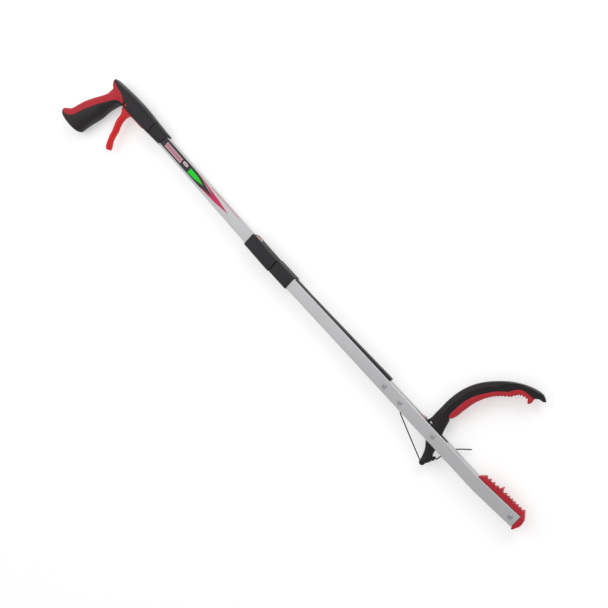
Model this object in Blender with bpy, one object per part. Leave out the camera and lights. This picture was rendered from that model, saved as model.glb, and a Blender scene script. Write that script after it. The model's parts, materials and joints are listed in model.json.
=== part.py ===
"""Folding reacher grabber: pistol handle, trigger, two hinged tubes and a hooked jaw.

Millimetre figures are scaled by MM, so the finished model is in metres. The tool lies on its
side on z = 0: x runs from the handle to the jaw, y points the way the jaw opens, and z is
the tool's thickness. Each half has its own frame: x = 0 at the sleeve's seam, y = 0 on the
tube's centre line and z = 0 in the tube's middle plane.
"""
import math

import bmesh
import bpy
from mathutils import Matrix, Vector

MM = 0.001
GAP = 0.3

# --- driving dimensions, millimetres ---
SEAM_X = -5.776                 # place of the sleeve's seam in the finished part
SEAM_Y = -22.7
MIDDLE_Z = 12.907             # middle plane above the surface the tool lies on
HANDLE_TURN = 1.25            # degrees that the handle half is out of line with the jaw half
HANDLE_DROP = -1.1            # sideways step between the two halves

TUBE_HEIGHT = 16.0
LOWER_TUBE_HEIGHT = 16.6
TUBE_THICK = 12.0
TUBE_WALL = 1.0
UPPER_TUBE_START = -290.0
UPPER_TUBE_END = -12.0
LOWER_TUBE_START = 12.0

SLEEVE_FRONT = 7.4
SLEEVE_BACK = -10.2
SLEEVE_HALF_HEIGHT = 9.7
FOLD_X = 0.6                  # fold pin: runs along y at the sleeve's back face
FOLD_Z = SLEEVE_BACK
KNUCKLE_RADIUS = 2.6
KNUCKLE_SPAN = 8.8            # the knuckles and pin stop short of the sleeve's sides
FOLD_PIN_RADIUS = 1.2

TRIGGER_PIVOT = (-338.0, -5.0)
TRIGGER_HALF = 4.5
TRUNNION_RADIUS = 2.6
BUTTON_CENTRE = (-43.3, -1.5)
BUTTON_HALF = (6.2, 3.0)
JAW_PIVOT = (302.4, 2.0)
JAW_HALF = 6.5
JAW_ROOT_HALF = 4.4           # the jaw's thickness where it passes through the tube
RIVETS = {"rivet_guide_rear": (218.1, -0.1), "rivet_guide_front": (246.1, 0.1),
          "jaw_pivot_rivet": JAW_PIVOT, "end_rivet": (427.4, 5.2)}
RIVET_RADIUS = 1.6
CORD_RADIUS = 0.8
CORD_Z = -4.1                 # the pull cord runs along the tubes' back wall

BLACK = ("casing_black", (0.034, 0.032, 0.036), 0.45, 0.0)
GRIP_RED = ("grip_red", (0.48, 0.032, 0.045), 0.6, 0.0)
TRIGGER_RED = ("trigger_red", (0.58, 0.012, 0.016), 0.3, 0.0)
ALUMINIUM = ("aluminium", (0.52, 0.52, 0.53), 0.35, 1.0)
STEEL = ("steel", (0.55, 0.55, 0.56), 0.3, 1.0)
JAW_BLACK = ("jaw_black", (0.022, 0.021, 0.024), 0.35, 0.0)
PAD_RED = ("pad_red", (0.38, 0.02, 0.032), 0.55, 0.0)
DECAL = ("decal", (0.03, 0.03, 0.032), 0.35, 0.0)
CORD = ("cord", (0.09, 0.08, 0.09), 0.8, 0.0)


# --- scene, materials and frames ---
def clear_scene():
    for obj in list(bpy.data.objects):
        bpy.data.objects.remove(obj, do_unlink=True)


def new_collection(name):
    collection = bpy.data.collections.new(name)
    bpy.context.scene.collection.children.link(collection)
    return collection


def material(spec):
    name, colour, roughness, metallic = spec
    made = bpy.data.materials.get(name)
    if made is None:
        made = bpy.data.materials.new(name)
        made.use_nodes = True
        shader = made.node_tree.nodes["Principled BSDF"]
        shader.inputs["Base Color"].default_value = (*colour, 1.0)
        shader.inputs["Roughness"].default_value = roughness
        shader.inputs["Metallic"].default_value = metallic
    return made


def new_frame(name, x, y, turn):
    frame = bpy.data.objects.new(name, None)
    frame.location = (x * MM, y * MM, MIDDLE_Z * MM)
    frame.rotation_euler = (0.0, 0.0, math.radians(turn))
    PARTS.objects.link(frame)
    return frame


def add(name, mesh, frame, look=None, origin=(0.0, 0.0, 0.0)):
    """Put a mesh, drawn in its frame's coordinates, on an object whose origin is given."""
    origin = Vector(origin) * MM
    mesh.transform(Matrix.Translation(-origin))
    obj = bpy.data.objects.new(name, mesh)
    obj.parent = frame
    obj.location = origin
    if look is None:
        CUTTERS.objects.link(obj)
        obj.hide_render = True
        obj.display_type = 'WIRE'
    else:
        PARTS.objects.link(obj)
        obj.data.materials.append(material(look))
    return obj


def combine(obj, others, operation='DIFFERENCE'):
    for other in others:
        step = obj.modifiers.new(f"{operation.lower()} {other.name}", 'BOOLEAN')
        step.operation = operation
        step.object = other
        step.solver = 'EXACT'


# --- mesh makers: each returns a closed mesh in metres, from millimetre figures ---
def finish_mesh(name, bm):
    bmesh.ops.remove_doubles(bm, verts=bm.verts, dist=0.00001)
    bmesh.ops.recalc_face_normals(bm, faces=bm.faces)
    mesh = bpy.data.meshes.new(name)
    bm.to_mesh(mesh)
    bm.free()
    return mesh


def box_mesh(name, low, high):
    bm = bmesh.new()
    bmesh.ops.create_cube(bm, size=1.0)
    size = [(b - a) * MM for a, b in zip(low, high)]
    centre = [(a + b) / 2 * MM for a, b in zip(low, high)]
    bmesh.ops.scale(bm, vec=size, verts=bm.verts)
    bmesh.ops.translate(bm, vec=centre, verts=bm.verts)
    return finish_mesh(name, bm)


def rod_mesh(name, start, end, radius, sides=16):
    """A cylinder between two points."""
    start, end = Vector(start) * MM, Vector(end) * MM
    along = end - start
    turn = along.to_track_quat('Z', 'Y').to_matrix().to_4x4()
    bm = bmesh.new()
    bmesh.ops.create_cone(bm, cap_ends=True, segments=sides, radius1=radius * MM,
                          radius2=radius * MM, depth=along.length)
    bmesh.ops.transform(bm, matrix=Matrix.Translation((start + end) / 2) @ turn, verts=bm.verts)
    return finish_mesh(name, bm)


def curve_mesh(name, curve):
    """The closed mesh of a curve, with its loose caps welded."""
    obj = bpy.data.objects.new(name, curve)
    bpy.context.scene.collection.objects.link(obj)
    evaluated = obj.evaluated_get(bpy.context.evaluated_depsgraph_get())
    mesh = bpy.data.meshes.new_from_object(evaluated)
    bm = bmesh.new()
    bm.from_mesh(mesh)
    bpy.data.meshes.remove(mesh)
    bpy.data.objects.remove(obj, do_unlink=True)
    return finish_mesh(name, bm)


def plate_mesh(name, outline, low, high):
    """A flat outline in the x-y plane, as thick as z = low to z = high."""
    curve = bpy.data.curves.new(name, 'CURVE')
    curve.dimensions = '2D'
    curve.fill_mode = 'BOTH'
    curve.extrude = (high - low) / 2 * MM
    spline = curve.splines.new('POLY')
    spline.points.add(len(outline) - 1)
    for point, (x, y) in zip(spline.points, outline):
        point.co = (x * MM, y * MM, 0.0, 1.0)
    spline.use_cyclic_u = True
    mesh = curve_mesh(name, curve)
    mesh.transform(Matrix.Translation((0.0, 0.0, (low + high) / 2 * MM)))
    return mesh


def wire_mesh(name, points, radius):
    """A round wire or cord through a list of points."""
    curve = bpy.data.curves.new(name, 'CURVE')
    curve.dimensions = '3D'
    curve.bevel_depth = radius * MM
    curve.bevel_resolution = 2
    curve.use_fill_caps = True
    spline = curve.splines.new('POLY')
    spline.points.add(len(points) - 1)
    for point, place in zip(spline.points, points):
        point.co = (*(Vector(place) * MM), 1.0)
    return curve_mesh(name, curve)


def loft_mesh(name, rings):
    """A skin through rings of points, closed at both ends."""
    bm = bmesh.new()
    loops = [[bm.verts.new(Vector(p) * MM) for p in ring] for ring in rings]
    count = len(loops[0])
    for first, second in zip(loops, loops[1:]):
        for i in range(count):
            j = (i + 1) % count
            bm.faces.new((first[i], first[j], second[j], second[i]))
    bm.faces.new(loops[0])
    bm.faces.new(loops[-1])
    return finish_mesh(name, bm)


def smooth_points(points, step):
    """Points about a step apart on a smooth curve through the given ones (Catmull-Rom)."""
    points = [Vector(p) for p in points]
    ends = [2 * points[0] - points[1]] + points + [2 * points[-1] - points[-2]]
    out = [points[0]]
    for a, b, c, d in zip(ends, ends[1:], ends[2:], ends[3:]):
        parts = max(1, round((c - b).length / step))
        for k in range(1, parts + 1):
            t = k / parts
            out.append(0.5 * (2 * b + (c - a) * t + (2 * a - 5 * b + 4 * c - d) * t * t
                              + (3 * b - a - 3 * c + d) * t ** 3))
    return out


def squircle(centre, half, power, count=24):
    """Points round a rounded rectangle with the given half sizes."""
    points = []
    for k in range(count):
        angle = 2 * math.pi * (k + 0.5) / count
        c, s = math.cos(angle), math.sin(angle)
        points.append((centre[0] + half[0] * math.copysign(abs(c) ** (2 / power), c),
                       centre[1] + half[1] * math.copysign(abs(s) ** (2 / power), s)))
    return points


# --- handle casing ---
# Barrel sections: x, lowest y, highest y, half thickness.
BARREL = ((-387.5, 4.6, 7.4, 3.0), (-384.5, 1.0, 8.6, 8.0), (-376.0, -4.0, 9.4, 11.4),
          (-362.0, -9.0, 10.6, 12.4), (-350.0, -11.4, 11.5, 12.8), (-323.0, -12.3, 12.6, 12.3),
          (-298.0, -11.6, 12.1, 10.8), (-281.0, -10.6, 11.2, 9.4))
NOSE = ((-280.7, -10.5, 11.2, 9.3), (-266.0, -9.6, 10.8, 8.2), (-252.5, -9.1, 10.4, 7.4),
        (-250.5, -8.9, 9.8, 7.2))
# Grip sections: y, rear x, front x, half thickness.
GRIP = ((4.0, -374.0, -354.0, 9.5), (-6.0, -376.4, -354.5, 11.6), (-12.0, -377.4, -356.3, 12.2),
        (-19.0, -381.5, -358.2, 12.5), (-34.7, -394.3, -363.2, 13.0), (-50.6, -405.4, -366.4, 13.0),
        (-63.4, -411.6, -371.4, 13.0), (-74.7, -417.5, -375.8, 13.0), (-83.0, -429.5, -377.9, 13.0),
        (-89.5, -429.0, -379.6, 12.6), (-93.2, -419.0, -384.0, 10.0))
# Front edge of the soft overmould on the grip's side, from the beak down to the butt.
OVERMOULD_EDGE = ((-393.0, 6.6), (-376.3, 4.8), (-363.0, 2.7), (-353.9, 0.9), (-347.4, -1.9),
                  (-343.5, -6.0), (-345.0, -7.9), (-352.1, -8.8), (-359.9, -13.6),
                  (-368.1, -24.3), (-379.8, -40.2), (-391.0, -57.7), (-399.4, -73.9),
                  (-408.1, -82.5), (-419.5, -86.2), (-436.0, -87.5))
CASING_SCREWS = {"casing_screw_butt": (-394.0, -82.0), "casing_screw_grip": (-374.0, -37.0),
                 "casing_screw_rear": (-352.0, 6.0), "casing_screw_front": (-314.0, 6.0)}


def barrel_rings(stations, inset=0.0, power=3.2):
    rings = []
    for x, low, high, half in stations:
        halves = ((high - low) / 2 - inset, half - inset)
        if min(halves) > 0.5:
            rings.append([(x, y, z) for y, z in squircle(((low + high) / 2, 0.0), halves, power)])
    return rings


def grip_rings(stations, inset=0.0, power=2.4):
    rings = []
    for y, rear, front, half in stations:
        middle = ((rear + front) / 2, 0.0)
        halves = ((front - rear) / 2 - inset, half - inset)
        rings.append([(x, y, z) for x, z in squircle(middle, halves, power)])
    return rings


def casing_body(name, inset, look=None):
    """The handle's outer form, or the same form drawn in by an inset."""
    body = add(name, loft_mesh(name, barrel_rings(BARREL, inset)), HANDLE, look)
    grip = add(f"{name}_grip_form", loft_mesh(name, grip_rings(GRIP, inset)), HANDLE)
    combine(body, [grip], 'UNION')
    return body


def casing_cavity():
    barrel = [s for s in BARREL if -380.0 < s[0] < -290.0]
    cavity = add("cavity", loft_mesh("cavity", barrel_rings(barrel, 2.6)), HANDLE)
    grip = [s for s in GRIP if -89.0 < s[0] < 0.0]
    hollow = add("grip_cavity", loft_mesh("grip_cavity", grip_rings(grip, 4.2)), HANDLE)
    tube_half = TUBE_HEIGHT / 2 + GAP
    thick_half = TUBE_THICK / 2 + GAP
    socket = add("tube_socket", box_mesh("tube_socket", (-300.0, -tube_half, -thick_half),
                                         (-279.0, tube_half, thick_half)), HANDLE)
    slot = add("trigger_slot", box_mesh("trigger_slot", (-353.0, -22.0, -5.0),
                                        (-291.5, -6.0, 5.0)), HANDLE)
    combine(cavity, [hollow, socket, slot], 'UNION')
    bosses = [add(f"{name}_boss", rod_mesh(name, (x, y, -9.0), (x, y, 9.0), 3.2), HANDLE)
              for name, (x, y) in CASING_SCREWS.items()]
    bosses.append(add("cord_post_boss", rod_mesh("post", (-293.9, -1.5, 4.2),
                                                 (-293.9, -1.5, 9.0), 3.0), HANDLE))
    combine(cavity, bosses)
    return cavity


def build_casing():
    soft_inside = casing_body("soft_inside", 2.0)
    soft_seat = casing_body("soft_seat", 2.3)
    edge = list(OVERMOULD_EDGE)
    outline = edge + [(-440.0, 6.6)]
    grown = [(x + GAP, y + (GAP if y > -6.5 else 0.0)) for x, y in edge]
    grown = [(x, y - (GAP if y < -6.5 else 0.0)) for x, y in grown] + [(-440.0, 6.9)]
    region = add("soft_region", plate_mesh("soft_region", outline, -20.0, 20.0), HANDLE)
    recess = add("soft_recess", plate_mesh("soft_recess", grown, -20.0, 20.0), HANDLE)
    soft = casing_body("grip_overmould", 0.0, GRIP_RED)
    combine(soft, [region], 'INTERSECT')
    combine(soft, [soft_inside])
    combine(recess, [soft_seat])

    cavity = casing_cavity()
    pivot = add("trunnion_hole", rod_mesh("hole", (*TRIGGER_PIVOT, -20.0), (*TRIGGER_PIVOT, 20.0),
                                          TRUNNION_RADIUS + GAP), HANDLE)
    drills = []
    for name, (x, y) in CASING_SCREWS.items():
        drills.append(add(f"{name}_hole", rod_mesh(name, (x, y, -15.0), (x, y, 5.0), 1.5), HANDLE))
        drills.append(add(f"{name}_recess", rod_mesh(name, (x, y, -15.0), (x, y, -8.2), 2.9),
                          HANDLE))
    for name, low, high in (("handle_shell_front", 0.15, 20.0), ("handle_shell_back", -20.0, -0.15)):
        shell = casing_body(name, 0.0, BLACK)
        half = add(f"{name}_side", box_mesh(name, (-450.0, -110.0, low), (-279.5, 30.0, high)), HANDLE)
        combine(shell, [recess, cavity, pivot] + drills)
        combine(shell, [half], 'INTERSECT')
    for name, (x, y) in CASING_SCREWS.items():
        screw = add(name, rod_mesh(name, (x, y, -8.5), (x, y, -10.2), 2.5), HANDLE, STEEL)
        shank = add(f"{name}_shank", rod_mesh(name, (x, y, -9.0), (x, y, 4.0), 1.2), HANDLE)
        combine(screw, [shank], 'UNION')


def build_nose():
    nose = add("nose_collar", loft_mesh("nose_collar", barrel_rings(NOSE)), HANDLE, BLACK)
    bore = add("nose_bore", box_mesh("nose_bore", (-300.0, -TUBE_HEIGHT / 2 - GAP, -TUBE_THICK / 2 - GAP),
                                     (-240.0, TUBE_HEIGHT / 2 + GAP, TUBE_THICK / 2 + GAP)), HANDLE)
    # The nose's end is cut back on its lower side.
    end = add("nose_end", plate_mesh("nose_end", ((-258.4, -14.0), (-240.0, -14.0), (-240.0, 14.0),
                                                  (-251.2, 14.0)), -12.0, 12.0), HANDLE)
    combine(nose, [bore, end])


# --- trigger and the cord's run round it ---
TRIGGER = ((-344.5, -1.5), (-338.0, 1.2), (-331.0, 0.6), (-322.0, -3.5), (-304.0, -5.2),
           (-296.3, -6.2), (-294.6, -9.0), (-297.0, -12.2), (-310.0, -12.8), (-323.0, -13.2),
           (-328.4, -15.8), (-331.6, -20.5), (-332.8, -26.5), (-332.5, -33.0), (-331.0, -38.5),
           (-328.8, -44.0), (-327.7, -50.0), (-326.4, -56.5), (-324.2, -62.3), (-320.8, -67.2),
           (-319.0, -70.4), (-319.2, -73.2), (-321.6, -74.6), (-325.2, -73.2), (-328.2, -69.0),
           (-330.8, -62.8), (-333.0, -56.5), (-334.6, -49.5), (-336.8, -43.0), (-339.2, -36.7),
           (-340.4, -30.0), (-340.4, -24.0), (-342.2, -18.6), (-346.0, -14.0), (-347.5, -7.0))
ARM_PIN = (-299.3, -8.6)
CORD_POST = (-293.9, -1.5)
CORD_ANCHOR = (-302.6, 4.6)


def build_trigger():
    pivot = (*TRIGGER_PIVOT, 0.0)
    lever = add("trigger", plate_mesh("trigger", TRIGGER, -TRIGGER_HALF, TRIGGER_HALF), HANDLE,
                TRIGGER_RED, pivot)
    trunnion = add("trunnion", rod_mesh("trunnion", (*TRIGGER_PIVOT, -11.8),
                                        (*TRIGGER_PIVOT, 11.8), TRUNNION_RADIUS), HANDLE)
    fork = add("trigger_fork", box_mesh("trigger_fork", (-306.0, -20.0, -2.2),
                                        (-290.0, 0.0, 2.2)), HANDLE)
    hole = add("arm_pin_hole", rod_mesh("arm_pin_hole", (*ARM_PIN, -10.0), (*ARM_PIN, 10.0), 1.45),
               HANDLE)
    combine(lever, [trunnion], 'UNION')
    combine(lever, [fork, hole])
    add("cord_pin_arm", rod_mesh("cord_pin_arm", (*ARM_PIN, -4.4), (*ARM_PIN, 4.4), 1.15), HANDLE,
        STEEL, pivot)
    add("cord_post", rod_mesh("cord_post", (*CORD_POST, -4.6), (*CORD_POST, 3.9), 1.6), HANDLE, STEEL)
    add("cord_anchor", rod_mesh("cord_anchor", (*CORD_ANCHOR, -4.6), (*CORD_ANCHOR, 4.6), 1.5),
        HANDLE, STEEL)


# --- tubes ---
def build_upper_tube():
    half = TUBE_HEIGHT / 2
    thick = TUBE_THICK / 2
    tube = add("upper_tube", box_mesh("upper_tube", (UPPER_TUBE_START, -half, -thick),
                                      (UPPER_TUBE_END, half, thick)), HANDLE, ALUMINIUM)
    inside = box_mesh("upper_bore", (UPPER_TUBE_START - 5, TUBE_WALL - half, TUBE_WALL - thick),
                      (UPPER_TUBE_END + 5, half - TUBE_WALL, thick - TUBE_WALL))
    combine(tube, [add("upper_bore", inside, HANDLE), button_hole("tube_button_hole")])
    add("decal_label", box_mesh("decal_label", (-257.0, -5.4, 6.02), (-98.0, 7.8, 6.12)), HANDLE,
        DECAL)


def lower_tube_outline(inset, overrun=0.0):
    """Side view of the lower tube: straight, then a slight bend towards the jaw's side."""
    half = LOWER_TUBE_HEIGHT / 2 - inset
    return ((LOWER_TUBE_START - overrun, -half), (382.0, 1.4 - half),
            (436.4 + overrun, 5.8 - half + overrun * 0.08),
            (434.8 + overrun, 5.8 + half + overrun * 0.08), (379.0, 1.4 + half),
            (LOWER_TUBE_START - overrun, half))


def build_lower_tube():
    thick = TUBE_THICK / 2
    tube = add("lower_tube", plate_mesh("lower_tube", lower_tube_outline(0.0), -thick, thick), LOWER,
               ALUMINIUM)
    inside = plate_mesh("lower_bore", lower_tube_outline(TUBE_WALL, 6.0), TUBE_WALL - thick,
                        thick - TUBE_WALL)
    jaw_mouth = box_mesh("jaw_mouth", (282.0, 5.0, TUBE_WALL - thick), (370.0, 16.0, thick - TUBE_WALL))
    spring_slot = box_mesh("spring_slot", (268.0, 5.0, -1.5), (284.0, 16.0, 1.5))
    tail_mouth = box_mesh("tail_mouth", (284.0, -16.0, TUBE_WALL - thick),
                          (331.0, -3.0, thick - TUBE_WALL))
    insert_mouth = box_mesh("insert_mouth", (373.2, 5.0, TUBE_WALL - thick),
                            (460.0, 22.0, thick - TUBE_WALL))
    cord_mouth = box_mesh("cord_mouth", (246.0, -12.0, -5.0), (259.0, -3.0, 1.6))
    mouths = (inside, jaw_mouth, spring_slot, tail_mouth, insert_mouth, cord_mouth)
    cuts = [add(mouth.name, mouth, LOWER) for mouth in mouths]
    cuts += [add(f"{name}_hole", rod_mesh(name, (x, y, -12.0), (x, y, 12.0), RIVET_RADIUS + GAP), LOWER)
             for name, (x, y) in RIVETS.items()]
    combine(tube, cuts)

    strip = ((37.0, 8.6), (66.0, 8.7), (218.0, 9.1), (218.0, 12.2), (150.0, 10.9), (66.0, 9.5),
             (37.0, 9.4))
    add("top_strip", plate_mesh("top_strip", strip, -4.6, 4.6), LOWER, BLACK)


def build_rivets():
    thick = TUBE_THICK / 2 + 0.05
    for name, (x, y) in RIVETS.items():
        rivet = add(name, rod_mesh(name, (x, y, -thick - 1.0), (x, y, thick + 1.0), RIVET_RADIUS),
                    LOWER, STEEL)
        heads = []
        for side in (-1, 1):
            head = rod_mesh(name, (x, y, side * thick), (x, y, side * (thick + 0.6)), 3.2)
            heads.append(add(f"{name}_head_{side}", head, LOWER))
            dome = rod_mesh(name, (x, y, side * (thick + 0.5)), (x, y, side * (thick + 1.1)), 2.3)
            heads.append(add(f"{name}_dome_{side}", dome, LOWER))
        combine(rivet, heads, 'UNION')


# --- sleeve, fold pin, button and latch ---
def build_sleeve():
    fold = (FOLD_X, 0.0, FOLD_Z)
    high = SLEEVE_HALF_HEIGHT
    tube_half = TUBE_HEIGHT / 2 + GAP
    lower_half = LOWER_TUBE_HEIGHT / 2 + GAP
    thick = TUBE_THICK / 2 + GAP
    upper = add("hinge_housing_upper", box_mesh("housing", (-52.1, -high, SLEEVE_BACK),
                                                (0.2, high, SLEEVE_FRONT)), HANDLE, BLACK)
    lower = add("hinge_housing_lower", box_mesh("housing", (1.0, -high, SLEEVE_BACK),
                                                (35.1, high, SLEEVE_FRONT)), LOWER, BLACK, fold)
    upper_cuts = [box_mesh("upper_socket", (-60.0, -tube_half, -thick), (-11.7, tube_half, thick)),
                  box_mesh("upper_pocket", (-12.5, -3.0, -7.4), (-3.0, 7.4, 4.0)),
                  box_mesh("upper_cord_way", (-4.0, -1.3, -7.5), (2.0, 1.3, -4.8)),
                  box_mesh("upper_latch_way", (-4.0, 1.5, -2.9), (2.0, 5.2, 0.6))]
    lower_cuts = [box_mesh("lower_socket", (11.7, -lower_half, -thick), (60.0, lower_half, thick)),
                  box_mesh("lower_pocket", (3.0, -3.0, -7.4), (12.5, 3.0, 4.0)),
                  box_mesh("lower_cord_way", (-2.0, -2.5, -7.5), (4.0, 0.3, -4.8)),
                  box_mesh("lower_latch_pocket", (-2.0, 0.3, -4.4), (7.4, 4.4, 3.4))]
    upper_parts = [add(m.name, m, HANDLE) for m in upper_cuts] + [button_hole("sleeve_button_hole")]
    lower_parts = [add(m.name, m, LOWER) for m in lower_cuts]
    # The fold pin lies along the lower half's y axis, which both halves' knuckles turn on.
    spans = ((-KNUCKLE_SPAN, -3.5, "upper"), (-3.2, 3.2, "lower"), (3.5, KNUCKLE_SPAN, "upper"))
    knuckles = {"upper": [], "lower": []}
    reliefs = {"upper": [], "lower": []}
    for k, (start, end, owner) in enumerate(spans):
        other = "lower" if owner == "upper" else "upper"
        knuckle = rod_mesh(f"knuckle_{k}", (FOLD_X, start, FOLD_Z), (FOLD_X, end, FOLD_Z),
                           KNUCKLE_RADIUS, 20)
        knuckles[owner].append(add(f"knuckle_{k}", knuckle, LOWER))
        relief = rod_mesh(f"relief_{k}", (FOLD_X, start - GAP - 0.1, FOLD_Z),
                          (FOLD_X, end + GAP + 0.1, FOLD_Z), KNUCKLE_RADIUS + GAP, 20)
        reliefs[other].append(add(f"relief_{k}", relief, LOWER))
    bore = add("fold_bore", rod_mesh("fold_bore", (FOLD_X, -15.0, FOLD_Z), (FOLD_X, 15.0, FOLD_Z),
                                     FOLD_PIN_RADIUS + GAP, 20), LOWER)
    for housing, cuts, owner in ((upper, upper_parts, "upper"), (lower, lower_parts, "lower")):
        combine(housing, cuts + reliefs[owner])
        combine(housing, knuckles[owner], 'UNION')
        combine(housing, [bore])
    add("fold_pin", rod_mesh("fold_pin", (FOLD_X, -KNUCKLE_SPAN, FOLD_Z),
                             (FOLD_X, KNUCKLE_SPAN, FOLD_Z), FOLD_PIN_RADIUS, 20), LOWER, STEEL)


def button_ring_at(y, grow):
    return [(x, y, z) for x, z in squircle(BUTTON_CENTRE, (BUTTON_HALF[0] + grow,
                                                           BUTTON_HALF[1] + grow), 2.3)]


def button_hole(name):
    return add(name, loft_mesh(name, [button_ring_at(4.0, GAP), button_ring_at(14.0, GAP)]), HANDLE)


def build_button():
    top = SLEEVE_HALF_HEIGHT + 0.6
    rings = [button_ring_at(5.0, 0.0), button_ring_at(top - 0.5, 0.0), button_ring_at(top, -0.7)]
    add("fold_button", loft_mesh("fold_button", rings), HANDLE, TRIGGER_RED)
    add("fold_latch", box_mesh("fold_latch", (-47.0, 3.3, -2.4), (6.4, 4.7, 0.0)), HANDLE, STEEL)
    turns = 4
    sides = 10
    points = []
    for k in range(turns * sides + 1):
        angle = 2 * math.pi * k / sides
        points.append((BUTTON_CENTRE[0] + 1.7 * math.cos(angle), -6.4 + 9.2 * k / (turns * sides),
                       -1.2 + 1.7 * math.sin(angle)))
    add("button_spring", wire_mesh("button_spring", points, 0.3), HANDLE, STEEL)


# --- jaw, pad and fixed insert ---
JAW_ARC = ((286.0, 16.0), (284.3, 29.0), (283.7, 41.4), (284.3, 53.6), (286.2, 65.8), (291.1, 80.2),
           (297.1, 91.0), (305.8, 102.4), (316.8, 113.6), (328.1, 122.0), (340.3, 128.2),
           (348.0, 130.7), (353.5, 131.3), (358.2, 129.9), (362.6, 126.7))
JAW_INNER = ((359.5, 124.3), (354.0, 123.0), (350.6, 120.6), (338.2, 119.4), (332.6, 116.9),
             (328.1, 111.2), (325.3, 105.6), (320.2, 100.9), (314.5, 94.6), (308.7, 85.2),
             (303.4, 75.8), (299.2, 63.7), (297.6, 49.2), (297.6, 35.9), (300.2, 31.0),
             (302.6, 30.0), (306.3, 15.1), (309.6, 8.3))
JAW_TAIL = ((318.6, -10.0), (322.9, -17.4), (322.6, -20.0), (318.9, -29.1), (318.4, -32.2),
            (315.1, -34.9), (311.9, -32.4), (311.3, -27.3), (301.2, -9.8), (290.6, -2.5),
            (287.0, 6.0), (285.4, 11.0))
PAD_BACK = JAW_INNER[2:14]
TOOTH_STEP = 1.35             # from a tooth's tip to the next hollow
TOOTH_RISE = 0.55


def pad_teeth():
    """The pad's toothed front: small even teeth along a smooth line, and a hooked end."""
    line = smooth_points([(p[0], p[1], 0.0) for p in ((301.6, 32.3), (303.9, 41.0), (304.7, 50.0),
                         (306.4, 62.0), (309.6, 74.0), (315.4, 84.6), (322.2, 94.0),
                         (330.8, 103.2), (334.0, 108.0), (339.4, 112.6), (345.6, 114.0))], TOOTH_STEP)
    out = []
    for k, point in enumerate(line):
        ahead = line[min(k + 1, len(line) - 1)] - line[max(k - 1, 0)]
        normal = Vector((ahead.y, -ahead.x, 0.0)).normalized()
        out.append(tuple((point + normal * (TOOTH_RISE if k % 2 else -TOOTH_RISE))[:2]))
    return out + [(348.3, 112.6), (350.4, 110.9), (352.6, 113.0), (351.2, 118.6)]


def build_jaw():
    pivot = (*JAW_PIVOT, 0.0)
    outline = JAW_ARC + JAW_INNER + JAW_TAIL
    jaw = add("jaw_arm", plate_mesh("jaw_arm", outline, -JAW_HALF, JAW_HALF), LOWER, JAW_BLACK, pivot)
    root = ((275.0, -16.0), (326.0, -16.0), (326.0, 30.0), (309.0, 30.0), (303.0, 24.5),
            (294.0, 14.5), (275.0, 14.5))
    cheeks = [add(f"jaw_cheek_{k}", plate_mesh("cheek", root, *side), LOWER)
              for k, side in enumerate(((JAW_ROOT_HALF, 9.0), (-9.0, -JAW_ROOT_HALF)))]
    eyes = [add("jaw_pivot_eye", rod_mesh("eye", (*JAW_PIVOT, -12.0), (*JAW_PIVOT, 12.0),
                                          RIVET_RADIUS + GAP), LOWER),
            add("spring_eye", rod_mesh("eye", (289.0, 10.6, -12.0), (289.0, 10.6, 12.0), 1.7), LOWER),
            add("cord_eye", rod_mesh("eye", (310.0, -30.7, 0.0), (319.5, -30.7, 0.0), 1.3), LOWER)]
    combine(jaw, cheeks + eyes)
    inner = [(x + 0.3 * (1 if y < 100 else 0.4), y - (0.3 if y > 80 else 0.1)) for x, y in PAD_BACK]
    pad_outline = pad_teeth() + inner
    add("jaw_pad", plate_mesh("jaw_pad", pad_outline, -JAW_HALF, JAW_HALF), LOWER, PAD_RED, pivot)


def insert_outline():
    """The fixed insert's outer edge: a toothed ridge, then the cap over the tube's end."""
    ridge = [(371.6, 9.9), (377.9, 16.4)]
    for k in range(3):
        x = 381.0 + 5.6 * k
        ridge += [(x, 14.6 + 0.35 * k), (x + 2.9, 17.0 + 0.35 * k)]
    ridge += [(397.4, 16.6), (400.2, 23.0), (404.0, 17.0)]
    for k in range(6):
        x = 405.6 + 4.3 * k
        ridge += [(x + 2.0, 19.2 + 0.1 * k), (x + 3.6, 17.4 + 0.25 * k)]
    ridge += [(433.9, 21.3), (441.2, 12.6), (442.6, 7.6), (441.2, 0.2), (439.0, -3.6),
              (437.6, -3.9), (436.9, -2.6)]
    return ridge


def build_insert():
    crown = insert_outline() + [(435.3, 14.7), (379.0, 10.2), (372.0, 9.95)]
    insert = add("fixed_jaw_insert", plate_mesh("crown", crown, -5.9, 5.9), LOWER, PAD_RED)
    core = [(374.0, -5.2), (383.0, -5.2), (438.2, -1.0), (437.8, 12.0), (433.0, 16.4), (374.6, 12.0)]
    stalk = add("insert_core", plate_mesh("core", core, -4.7, 4.7), LOWER)
    hole = add("insert_hole", rod_mesh("hole", (*RIVETS["end_rivet"], -9.0),
                                       (*RIVETS["end_rivet"], 9.0), RIVET_RADIUS + GAP), LOWER)
    combine(insert, [stalk], 'UNION')
    combine(insert, [hole])


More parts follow.
